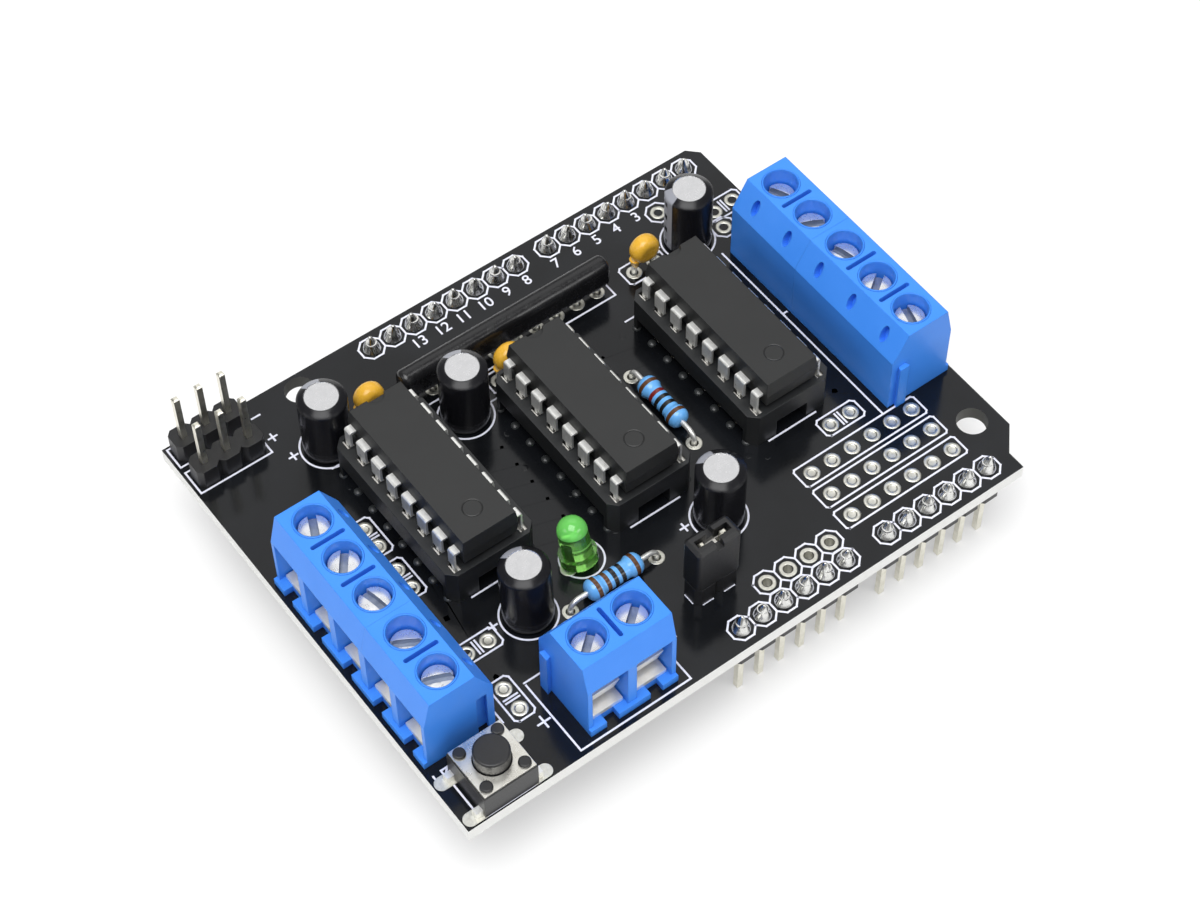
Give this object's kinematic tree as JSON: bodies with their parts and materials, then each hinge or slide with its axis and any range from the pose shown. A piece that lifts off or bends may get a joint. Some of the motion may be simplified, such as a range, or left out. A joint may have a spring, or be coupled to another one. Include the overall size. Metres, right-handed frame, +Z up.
{
  "type": "servo driver board",
  "caption": "Stacking motor and servo driver board with socketed driver chips, screw terminals, servo headers, jumper and reset switch.",
  "frame": {"origin": "centre of the base of the bounding box: the header pin tips stand at Z = 0 and the board outline is centred on X and Y", "axes": "+X along the board's long side from the left terminals to the right ones, +Y from the power and analog pins to the digital pins, +Z up out of the component side"},
  "size_m": [0.0684, 0.0523, 0.0206],
  "materials": {
    "board_lacquer": "glossy black solder mask over glass-epoxy laminate",
    "strip_plastic": "black moulded header plastic",
    "pin_metal": "tinned square pins",
    "terminal_blue": "satin blue moulded plastic",
    "screw_steel": "zinc plated screws",
    "clamp_metal": "nickel plated clamp parts",
    "socket_plastic": "black moulded socket plastic",
    "chip_resin": "dark grey moulded resin with tinned leads",
    "can_sleeve": "black shrink sleeve over an aluminium can",
    "disc_dip": "yellow dipped coating",
    "network_dip": "black dipped coating",
    "lamp_resin": "green diffused resin",
    "resistor_coat": "light blue lacquer with colour bands",
    "switch_plastic": "black moulded plastic",
    "switch_metal": "pressed steel",
    "solder": "bright solder"
  },
  "bodies": {
    "board": {"circuit_board": "board_lacquer", "header_strips": "strip_plastic", "servo_header_strips": "strip_plastic", "jumper_header_strip": "strip_plastic", "header_pins": "pin_metal", "terminal_contacts": "clamp_metal", "socket_contacts": "clamp_metal", "ceramic_capacitors": "disc_dip", "resistor_network": "network_dip", "indicator_lamp": "lamp_resin", "resistors": "resistor_coat", "switch_base": "switch_plastic", "switch_cover": "switch_metal", "switch_dome": "switch_metal", "switch_legs": "pin_metal", "solder_joints": "solder", "terminal_left_back": "terminal_blue", "terminal_left_front": "terminal_blue", "terminal_right_front": "terminal_blue", "terminal_right_back": "terminal_blue", "terminal_supply": "terminal_blue", "chip_socket_left": "socket_plastic", "chip_socket_middle": "socket_plastic", "chip_socket_right": "socket_plastic", "capacitor_front_left": "can_sleeve", "capacitor_middle": "can_sleeve", "capacitor_back_left": "can_sleeve", "capacitor_back_right": "can_sleeve", "capacitor_front_middle": "can_sleeve"},
    "left_plate_1": {"left_clamp_plate_1": "clamp_metal"},
    "left_screw_body_1": {"left_screw_1": "screw_steel"},
    "left_plate_2": {"left_clamp_plate_2": "clamp_metal"},
    "left_screw_body_2": {"left_screw_2": "screw_steel"},
    "left_plate_3": {"left_clamp_plate_3": "clamp_metal"},
    "left_screw_body_3": {"left_screw_3": "screw_steel"},
    "left_plate_4": {"left_clamp_plate_4": "clamp_metal"},
    "left_screw_body_4": {"left_screw_4": "screw_steel"},
    "left_plate_5": {"left_clamp_plate_5": "clamp_metal"},
    "left_screw_body_5": {"left_screw_5": "screw_steel"},
    "right_plate_1": {"right_clamp_plate_1": "clamp_metal"},
    "right_screw_body_1": {"right_screw_1": "screw_steel"},
    "right_plate_2": {"right_clamp_plate_2": "clamp_metal"},
    "right_screw_body_2": {"right_screw_2": "screw_steel"},
    "right_plate_3": {"right_clamp_plate_3": "clamp_metal"},
    "right_screw_body_3": {"right_screw_3": "screw_steel"},
    "right_plate_4": {"right_clamp_plate_4": "clamp_metal"},
    "right_screw_body_4": {"right_screw_4": "screw_steel"},
    "right_plate_5": {"right_clamp_plate_5": "clamp_metal"},
    "right_screw_body_5": {"right_screw_5": "screw_steel"},
    "supply_plate_1": {"supply_clamp_plate_1": "clamp_metal"},
    "supply_screw_body_1": {"supply_screw_1": "screw_steel"},
    "supply_plate_2": {"supply_clamp_plate_2": "clamp_metal"},
    "supply_screw_body_2": {"supply_screw_2": "screw_steel"},
    "chip_left": {"driver_chip_left": "chip_resin"},
    "chip_middle": {"driver_chip_middle": "chip_resin"},
    "chip_right": {"driver_chip_right": "chip_resin"},
    "jumper": {"jumper_cap": "strip_plastic", "jumper_spring": "clamp_metal"},
    "reset_button": {"switch_button": "switch_plastic"}
  },
  "joints": [
    {"name": "left_screw_turn_1", "type": "hinge", "parent": "left_plate_1", "child": "left_screw_body_1", "pos_m": [-0.02995, 0.0039, 0.01335], "axis": [0, 0, 1], "range_deg": [-670.6, 721]},
    {"name": "left_plate_slide_1", "type": "slide", "parent": "board", "child": "left_plate_1", "axis": [0, 0, 1], "range_m": [-0.00093, 0.001]},
    {"name": "left_screw_turn_2", "type": "hinge", "parent": "left_plate_2", "child": "left_screw_body_2", "pos_m": [-0.02995, -0.0011, 0.01355], "axis": [0, 0, 1], "range_deg": [-814.6, 577]},
    {"name": "left_plate_slide_2", "type": "slide", "parent": "board", "child": "left_plate_2", "axis": [0, 0, 1], "range_m": [-0.00113, 0.0008]},
    {"name": "left_screw_turn_3", "type": "hinge", "parent": "left_plate_3", "child": "left_screw_body_3", "pos_m": [-0.02995, -0.0061, 0.01355], "axis": [0, 0, 1], "range_deg": [-814.6, 577]},
    {"name": "left_plate_slide_3", "type": "slide", "parent": "board", "child": "left_plate_3", "axis": [0, 0, 1], "range_m": [-0.00113, 0.0008]},
    {"name": "left_screw_turn_4", "type": "hinge", "parent": "left_plate_4", "child": "left_screw_body_4", "pos_m": [-0.02995, -0.0111, 0.01265], "axis": [0, 0, 1], "range_deg": [-166.6, 1225]},
    {"name": "left_plate_slide_4", "type": "slide", "parent": "board", "child": "left_plate_4", "axis": [0, 0, 1], "range_m": [-0.00023, 0.0017]},
    {"name": "left_screw_turn_5", "type": "hinge", "parent": "left_plate_5", "child": "left_screw_body_5", "pos_m": [-0.02995, -0.0161, 0.01315], "axis": [0, 0, 1], "range_deg": [-526.6, 865]},
    {"name": "left_plate_slide_5", "type": "slide", "parent": "board", "child": "left_plate_5", "axis": [0, 0, 1], "range_m": [-0.00073, 0.0012]},
    {"name": "right_screw_turn_1", "type": "hinge", "parent": "right_plate_1", "child": "right_screw_body_1", "pos_m": [0.02995, -0.0102, 0.01325], "axis": [0, 0, 1], "range_deg": [-598.6, 793]},
    {"name": "right_plate_slide_1", "type": "slide", "parent": "board", "child": "right_plate_1", "axis": [0, 0, 1], "range_m": [-0.00083, 0.0011]},
    {"name": "right_screw_turn_2", "type": "hinge", "parent": "right_plate_2", "child": "right_screw_body_2", "pos_m": [0.02995, -0.0052, 0.0132], "axis": [0, 0, 1], "range_deg": [-562.6, 829]},
    {"name": "right_plate_slide_2", "type": "slide", "parent": "board", "child": "right_plate_2", "axis": [0, 0, 1], "range_m": [-0.00078, 0.00115]},
    {"name": "right_screw_turn_3", "type": "hinge", "parent": "right_plate_3", "child": "right_screw_body_3", "pos_m": [0.02995, -0.0002, 0.01305], "axis": [0, 0, 1], "range_deg": [-454.6, 937]},
    {"name": "right_plate_slide_3", "type": "slide", "parent": "board", "child": "right_plate_3", "axis": [0, 0, 1], "range_m": [-0.00063, 0.0013]},
    {"name": "right_screw_turn_4", "type": "hinge", "parent": "right_plate_4", "child": "right_screw_body_4", "pos_m": [0.02995, 0.0048, 0.01295], "axis": [0, 0, 1], "range_deg": [-382.6, 1009]},
    {"name": "right_plate_slide_4", "type": "slide", "parent": "board", "child": "right_plate_4", "axis": [0, 0, 1], "range_m": [-0.00053, 0.0014]},
    {"name": "right_screw_turn_5", "type": "hinge", "parent": "right_plate_5", "child": "right_screw_body_5", "pos_m": [0.02995, 0.0098, 0.01285], "axis": [0, 0, 1], "range_deg": [-310.6, 1081]},
    {"name": "right_plate_slide_5", "type": "slide", "parent": "board", "child": "right_plate_5", "axis": [0, 0, 1], "range_m": [-0.00043, 0.0015]},
    {"name": "supply_screw_turn_1", "type": "hinge", "parent": "supply_plate_1", "child": "supply_screw_body_1", "pos_m": [-0.0172, -0.0212, 0.01295], "axis": [0, 0, 1], "range_deg": [-382.6, 1009]},
    {"name": "supply_plate_slide_1", "type": "slide", "parent": "board", "child": "supply_plate_1", "axis": [0, 0, 1], "range_m": [-0.00053, 0.0014]},
    {"name": "supply_screw_turn_2", "type": "hinge", "parent": "supply_plate_2", "child": "supply_screw_body_2", "pos_m": [-0.0122, -0.0212, 0.01295], "axis": [0, 0, 1], "range_deg": [-382.6, 1009]},
    {"name": "supply_plate_slide_2", "type": "slide", "parent": "board", "child": "supply_plate_2", "axis": [0, 0, 1], "range_m": [-0.00053, 0.0014]},
    {"name": "chip_left_pull", "type": "slide", "parent": "board", "child": "chip_left", "axis": [0, 0, 1], "range_m": [0, 0.004]},
    {"name": "chip_middle_pull", "type": "slide", "parent": "board", "child": "chip_middle", "axis": [0, 0, 1], "range_m": [0, 0.004]},
    {"name": "chip_right_pull", "type": "slide", "parent": "board", "child": "chip_right", "axis": [0, 0, 1], "range_m": [0, 0.004]},
    {"name": "jumper_pull", "type": "slide", "parent": "board", "child": "jumper", "axis": [0, 0, 1], "range_m": [0, 0.006]},
    {"name": "reset_press", "type": "slide", "parent": "board", "child": "reset_button", "axis": [0, 0, -1], "range_m": [0, 0.00025], "stiffness_N_per_m": 4000}
  ],
  "couplings": [
    {"joint": "left_screw_turn_1", "follows": "left_plate_slide_1", "rad_per_m": 12566},
    {"joint": "left_screw_turn_2", "follows": "left_plate_slide_2", "rad_per_m": 12566},
    {"joint": "left_screw_turn_3", "follows": "left_plate_slide_3", "rad_per_m": 12566},
    {"joint": "left_screw_turn_4", "follows": "left_plate_slide_4", "rad_per_m": 12566},
    {"joint": "left_screw_turn_5", "follows": "left_plate_slide_5", "rad_per_m": 12566},
    {"joint": "right_screw_turn_1", "follows": "right_plate_slide_1", "rad_per_m": 12566},
    {"joint": "right_screw_turn_2", "follows": "right_plate_slide_2", "rad_per_m": 12566},
    {"joint": "right_screw_turn_3", "follows": "right_plate_slide_3", "rad_per_m": 12566},
    {"joint": "right_screw_turn_4", "follows": "right_plate_slide_4", "rad_per_m": 12566},
    {"joint": "right_screw_turn_5", "follows": "right_plate_slide_5", "rad_per_m": 12566},
    {"joint": "supply_screw_turn_1", "follows": "supply_plate_slide_1", "rad_per_m": 12566},
    {"joint": "supply_screw_turn_2", "follows": "supply_plate_slide_2", "rad_per_m": 12566}
  ]
}
